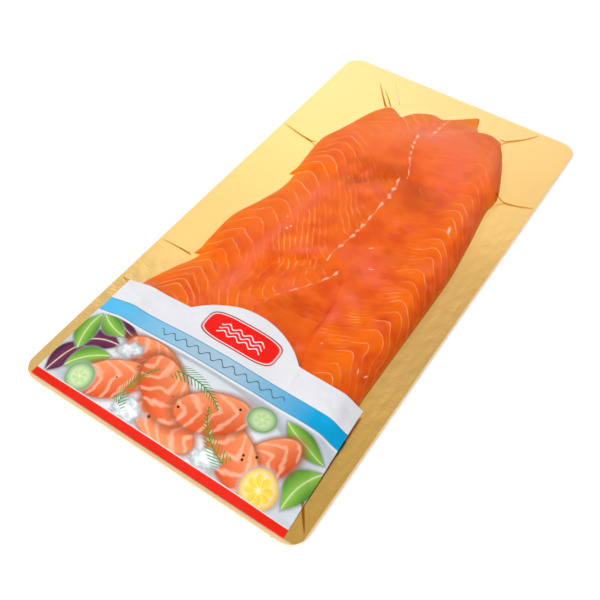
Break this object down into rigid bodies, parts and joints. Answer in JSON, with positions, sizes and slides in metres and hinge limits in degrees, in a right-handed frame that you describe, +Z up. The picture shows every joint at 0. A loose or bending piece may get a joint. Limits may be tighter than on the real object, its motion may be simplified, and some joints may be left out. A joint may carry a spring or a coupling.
{
  "type": "pack of sliced smoked salmon",
  "caption": "Flat sealed retail pack: shingled smoked salmon slices on a gold laminated board, a printed label over the near end and clear film over all.",
  "frame": {"origin": "middle of the underside of the board, which the pack rests on", "axes": "+X across the board to the right, +Y along it from the label end to the tail end of the fish, +Z up out of the printed side"},
  "size_m": [0.18, 0.344, 0.0122],
  "materials": {
    "gold_board": "gloss",
    "salmon": "satin",
    "label": "satin",
    "clear_film": "gloss"
  },
  "bodies": {
    "root": {"board": "gold_board", "slice_3": "salmon", "slice_2": "salmon", "slice_tail": "salmon", "slice_1": "salmon", "label": "label", "film": "clear_film"}
  },
  "joints": []
}
